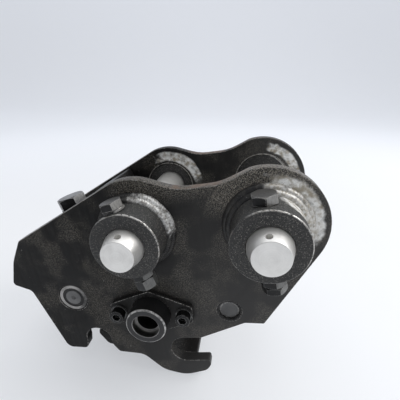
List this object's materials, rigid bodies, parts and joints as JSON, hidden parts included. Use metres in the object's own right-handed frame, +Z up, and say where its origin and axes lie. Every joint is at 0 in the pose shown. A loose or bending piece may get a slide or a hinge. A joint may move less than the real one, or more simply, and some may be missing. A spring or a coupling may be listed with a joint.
{
  "type": "quick coupler",
  "caption": "Excavator quick coupler: twin side plates carry two arm pins in bolted bosses, a fixed front hook and a screw-clamped swinging lock hook.",
  "frame": {"origin": "centre of the footprint, on the ground under the two front hooks and the lock hook tip", "axes": "+X towards the front hooks, +Y across to the plain side, +Z up"},
  "size_m": [0.3468, 0.2714, 0.2676],
  "materials": {
    "plate_paint": "satin near-black enamel, gritty in places, chipped and rusty along the top edge",
    "boss_paint": "satin near-black enamel, worn to bare steel round the welds",
    "bolt_steel": "plated hexagon bolts and nuts, scuffed",
    "pin_steel": "ground and turned steel, bright",
    "shaft_steel": "turned steel, darkened",
    "hook_shaft_steel": "turned steel, handled",
    "spacer_steel": "turned steel, oiled",
    "bush_bronze": "plain bronze, greased",
    "cross_paint": "satin near-black enamel",
    "flange_paint": "satin near-black enamel, rubbed edges",
    "cap_screw_steel": "blackened steel",
    "hook_paint": "satin near-black enamel, polished in the claw",
    "screw_steel": "blackened steel with bright corners on the head"
  },
  "bodies": {
    "frame": {"side_plate_near": "plate_paint", "side_plate_far": "plate_paint", "boss_front_near": "boss_paint", "boss_front_far": "boss_paint", "boss_rear_near": "boss_paint", "boss_rear_far": "boss_paint", "lock_bolt_front_near": "bolt_steel", "lock_bolt_front_far": "bolt_steel", "lock_bolt_rear_near": "bolt_steel", "lock_bolt_rear_far": "bolt_steel", "lock_nut_front_near": "bolt_steel", "lock_nut_front_far": "bolt_steel", "lock_nut_rear_near": "bolt_steel", "lock_nut_rear_far": "bolt_steel", "lock_jam_nut_front_near": "bolt_steel", "lock_jam_nut_front_far": "bolt_steel", "lock_jam_nut_rear_near": "bolt_steel", "lock_jam_nut_rear_far": "bolt_steel", "hook_spacer_near": "spacer_steel", "hook_spacer_far": "spacer_steel", "arm_pin_front": "pin_steel", "arm_pin_rear": "pin_steel", "front_saddle": "cross_paint", "upper_tie_plate": "cross_paint", "rear_cross_plate": "cross_paint", "cross_shaft": "shaft_steel", "cross_sleeve": "cross_paint", "hook_shaft": "hook_shaft_steel", "keeper_flange": "flange_paint", "cap_screw_rear": "cap_screw_steel", "cap_screw_front": "cap_screw_steel", "shaft_ring": "spacer_steel"},
    "lock_hook": {"lock_hook": "hook_paint", "hook_bush_near": "bush_bronze", "hook_bush_far": "bush_bronze"},
    "trunnion": {"trunnion_bar": "shaft_steel", "trunnion_collar_near": "spacer_steel", "trunnion_collar_far": "spacer_steel"},
    "swivel": {"swivel_block": "shaft_steel"},
    "screw": {"clamp_screw": "screw_steel"}
  },
  "joints": [
    {"name": "hook_swing", "type": "hinge", "parent": "frame", "child": "lock_hook", "pos_m": [-0.00228, 0, 0.09656], "axis": [0, -1, 0], "range_deg": [0, 26]},
    {"name": "trunnion_swing", "type": "hinge", "parent": "frame", "child": "trunnion", "pos_m": [-0.09906, 0, 0.10016], "axis": [0, -1, 0], "range_deg": [0, 6]},
    {"name": "screw_travel", "type": "slide", "parent": "trunnion", "child": "swivel", "axis": [0.3223, 0, -0.9466], "range_m": [0, 0.0405]},
    {"name": "screw_turn", "type": "hinge", "parent": "swivel", "child": "screw", "pos_m": [-0.09906, 0, 0.10016], "axis": [0.3223, 0, -0.9466], "range_deg": [0, 5820]}
  ],
  "couplings": [
    {"joint": "trunnion_swing", "follows": "hook_swing", "ratio": 0.228},
    {"joint": "screw_travel", "follows": "hook_swing", "m_per_rad": 0.08901},
    {"joint": "screw_turn", "follows": "hook_swing", "ratio": 223.71}
  ]
}
